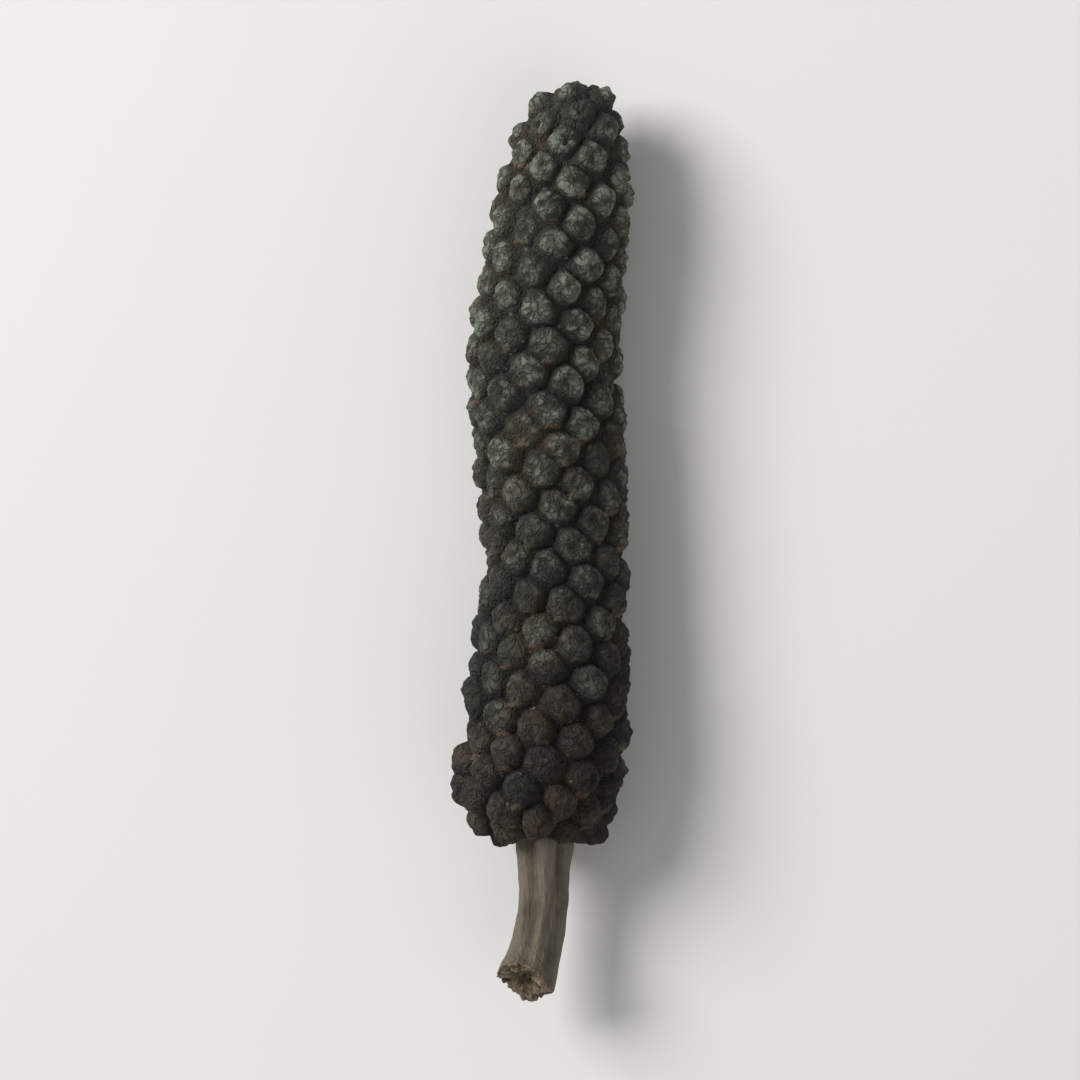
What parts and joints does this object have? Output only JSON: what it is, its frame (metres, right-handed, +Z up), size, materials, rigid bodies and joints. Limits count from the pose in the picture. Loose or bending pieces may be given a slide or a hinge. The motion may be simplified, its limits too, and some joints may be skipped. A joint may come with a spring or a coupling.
{
  "type": "long pepper",
  "caption": "Dried long pepper spice: a slim, slightly curved fruit spike of tightly packed knobbly fruitlets with a short stub of stalk, lying on its side.",
  "frame": {"origin": "bottom centre of the part's box, on the surface it lies on", "axes": "+X along the spike towards its tip, with the stalk at -X; +Z up from the surface; the tip hooks a little towards -Y"},
  "size_m": [0.021, 0.0042, 0.0035],
  "materials": {
    "fruitlets": "dry, wrinkled fruit skin, very dark brown to black with a dull olive grey bloom on the tops and reddish brown creases",
    "stalk": "dry, furrowed stalk, dull greyish tan with a paler fibrous broken end"
  },
  "bodies": {
    "root": {"fruit_spike": "fruitlets", "stalk": "stalk"}
  },
  "joints": []
}
